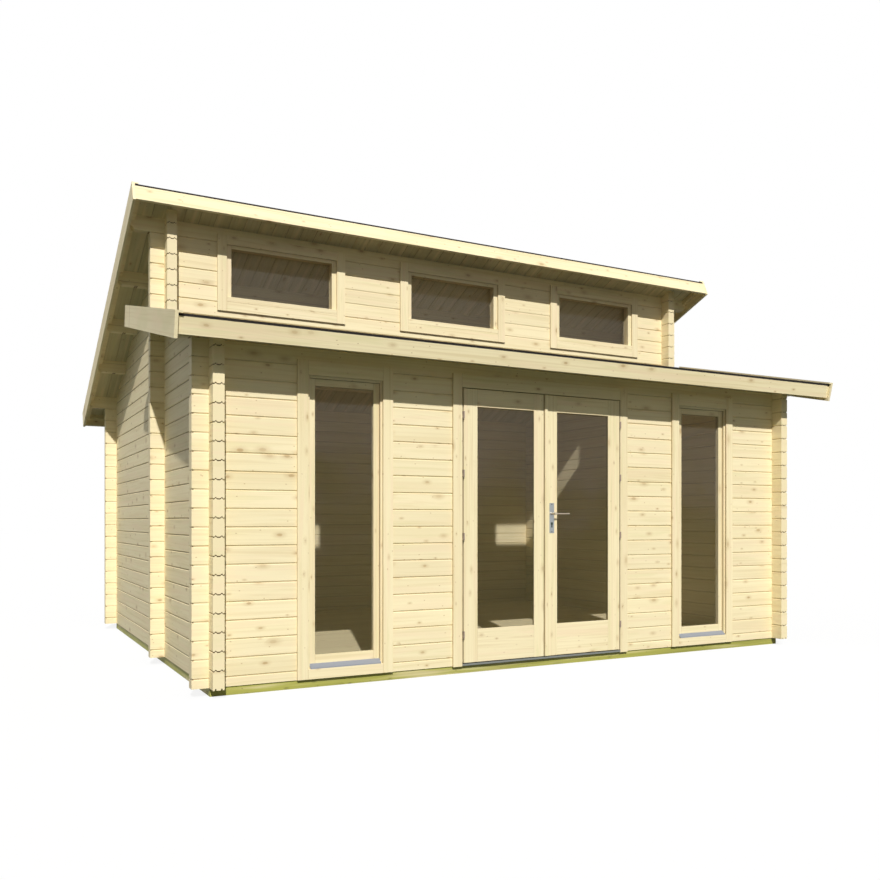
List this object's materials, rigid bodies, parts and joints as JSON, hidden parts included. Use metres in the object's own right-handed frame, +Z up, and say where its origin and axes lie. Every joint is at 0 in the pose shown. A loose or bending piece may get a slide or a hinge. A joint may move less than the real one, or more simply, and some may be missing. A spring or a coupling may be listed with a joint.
{
  "type": "garden cabin",
  "caption": "Log cabin of interlocking boards with notched corners, a low front roof, a raised strip of wide windows, a rear mono-pitch roof, tall side windows and glazed double doors.",
  "frame": {"origin": "middle of the roofs' footprint in plan, at the underside of the foundation beams", "axes": "+X to the right along the front, +Y from the front to the back, +Z up; the door side faces -Y"},
  "size_m": [5.436, 4.5688, 3.451],
  "materials": {
    "wall_logs": "planed untreated softwood",
    "trim_boards": "planed untreated softwood",
    "door_leaves": "planed untreated softwood",
    "roof_and_floor_boards": "planed untreated softwood",
    "treated_timber": "green pressure-treated softwood",
    "roof_felt": "matt bitumen felt",
    "glazing": "clear double glazing",
    "satin_metal": "satin"
  },
  "bodies": {
    "cabin": {"foundation_front": "treated_timber", "foundation_back": "treated_timber", "foundation_sides": "treated_timber", "floor_joists": "treated_timber", "floor_boards": "roof_and_floor_boards", "front_wall_left": "wall_logs", "front_wall_right": "wall_logs", "front_wall_over_door": "wall_logs", "left_wall": "wall_logs", "right_wall": "wall_logs", "back_wall": "wall_logs", "cross_wall_stubs": "wall_logs", "clerestory_wall": "wall_logs", "purlins": "wall_logs", "roof_battens": "roof_and_floor_boards", "lower_roof_boards": "roof_and_floor_boards", "lower_roof_felt": "roof_felt", "lower_fascia": "trim_boards", "lower_barge_left": "trim_boards", "lower_barge_right": "trim_boards", "upper_roof_boards": "roof_and_floor_boards", "upper_roof_felt": "roof_felt", "upper_fascia_front": "trim_boards", "upper_fascia_back": "trim_boards", "upper_barge_left": "trim_boards", "upper_barge_right": "trim_boards", "window_left_frame": "trim_boards", "window_right_frame": "trim_boards", "front_window_glass": "glazing", "window_sills": "satin_metal", "clerestory_frame_left": "trim_boards", "clerestory_frame_middle": "trim_boards", "clerestory_frame_right": "trim_boards", "clerestory_glass": "glazing", "door_frame": "trim_boards", "door_threshold": "satin_metal", "hinge_frame_halves": "satin_metal"},
    "door_left": {"door_left": "door_leaves", "door_left_glass": "glazing", "door_left_hinges": "satin_metal"},
    "door_right": {"door_right": "door_leaves", "door_right_glass": "glazing", "door_right_hinges": "satin_metal", "handle_plates": "satin_metal"},
    "handle": {"door_handle": "satin_metal"}
  },
  "joints": [
    {"name": "door_left_hinge", "type": "hinge", "parent": "cabin", "child": "door_left", "pos_m": [-0.6935, -1.96104, 1], "axis": [0, 0, -1], "range_deg": [0, 110]},
    {"name": "door_right_hinge", "type": "hinge", "parent": "cabin", "child": "door_right", "pos_m": [0.6935, -1.96104, 1], "axis": [0, 0, 1], "range_deg": [0, 110]},
    {"name": "handle_turn", "type": "hinge", "parent": "door_right", "child": "handle", "pos_m": [0.054, -1.92504, 1.117], "axis": [0, 1, 0], "range_deg": [0, 40], "stiffness_Nm_per_rad": 1.2}
  ]
}
